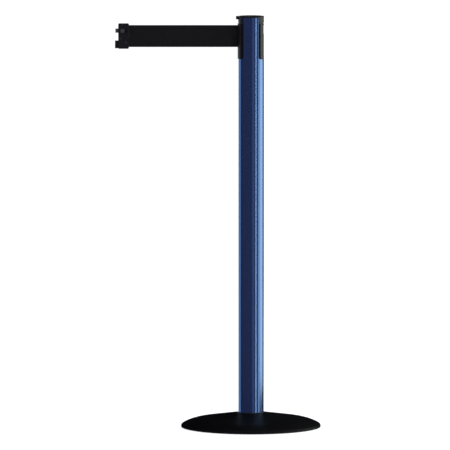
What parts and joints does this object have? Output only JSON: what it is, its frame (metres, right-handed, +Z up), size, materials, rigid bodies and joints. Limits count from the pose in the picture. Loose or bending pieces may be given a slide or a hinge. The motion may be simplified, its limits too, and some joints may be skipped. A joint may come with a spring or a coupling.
{
  "type": "retractable belt stanchion",
  "caption": "Free-standing queue post with a weighted round base, a straight tube and a head that holds a spring reel of webbing belt, an outlet and a receiver slot.",
  "frame": {"origin": "centre of the base's underside, on the floor and on the post's axis", "axes": "+Z up along the post, the belt leaves the head along -X, the receiver slot faces +X"},
  "size_m": [0.506, 0.344, 1.015],
  "materials": {
    "post_blue": "glossy metallic blue",
    "base_black": "satin black powder coat",
    "cast_weight": "as cast",
    "pad_rubber": "matte",
    "seal_rubber": "matte",
    "zinc_steel": "zinc plated",
    "plug_steel": "turned",
    "bright_steel": "ground",
    "black_steel": "black oxide",
    "spring_steel": "blued spring strip",
    "head_plastic": "fine moulded grain",
    "black_plastic": "moulded",
    "grey_plastic": "moulded",
    "white_plastic": "acetal",
    "latch_plastic": "moulded",
    "belt_black": "woven webbing",
    "felt_grey": "felt"
  },
  "bodies": {
    "stand": {"base_cover": "base_black", "base_weight": "cast_weight", "floor_pad": "pad_rubber", "collar_seal": "seal_rubber", "base_bolt": "zinc_steel", "base_washer": "zinc_steel", "foot_plug": "plug_steel", "foot_pins": "zinc_steel", "post_tube": "post_blue", "cassette_floor": "black_plastic", "cassette_top": "black_plastic", "cassette_rods": "zinc_steel", "cassette_nuts": "zinc_steel", "head_screws": "black_steel", "spindle": "bright_steel", "spindle_clip": "zinc_steel", "spring_cup": "black_plastic", "power_spring": "spring_steel", "spring_cover": "black_plastic", "belt_lead": "belt_black", "brake_felt": "felt_grey", "wave_washer": "spring_steel", "outlet_panel": "head_plastic", "receiver_panel": "head_plastic", "roller_pins": "bright_steel", "head_cap": "head_plastic"},
    "reel": {"reel_core": "grey_plastic", "reel_flanges": "grey_plastic", "bushings": "white_plastic", "belt_roll": "belt_black"},
    "roller_front": {"guide_roller_front": "white_plastic"},
    "roller_back": {"guide_roller_back": "white_plastic"},
    "belt_end": {"belt_web": "belt_black", "clip_body": "head_plastic", "clip_cover": "head_plastic", "clip_screws": "black_steel", "clip_pin": "bright_steel", "latch_spring": "spring_steel"},
    "latch": {"clip_latch": "latch_plastic"}
  },
  "joints": [
    {"name": "belt_pull", "type": "slide", "parent": "stand", "child": "belt_end", "axis": [-1, 0, 0], "range_m": [-0.2664, 2.033], "deforming": ["belt_web"]},
    {"name": "reel_spin", "type": "hinge", "parent": "stand", "child": "reel", "pos_m": [0, 0, 0.9656], "axis": [0, 0, 1], "range_deg": [-692, 5211]},
    {"name": "roller_front_spin", "type": "hinge", "parent": "stand", "child": "roller_front", "pos_m": [-0.0272, -0.0033, 0.9656], "axis": [0, 0, 1], "range_deg": [-5881, 44811]},
    {"name": "roller_back_spin", "type": "hinge", "parent": "stand", "child": "roller_back", "pos_m": [-0.0272, 0.0033, 0.9656], "axis": [0, 0, 1], "range_deg": [-44811, 5881]},
    {"name": "latch_slide", "type": "slide", "parent": "belt_end", "child": "latch", "axis": [1, 0, 0], "range_m": [0, 0.006], "stiffness_N_per_m": 150}
  ],
  "couplings": [
    {"joint": "reel_spin", "follows": "belt_pull", "rad_per_m": 44.643},
    {"joint": "roller_front_spin", "follows": "belt_pull", "rad_per_m": 384.62},
    {"joint": "roller_back_spin", "follows": "belt_pull", "rad_per_m": -384.62}
  ]
}
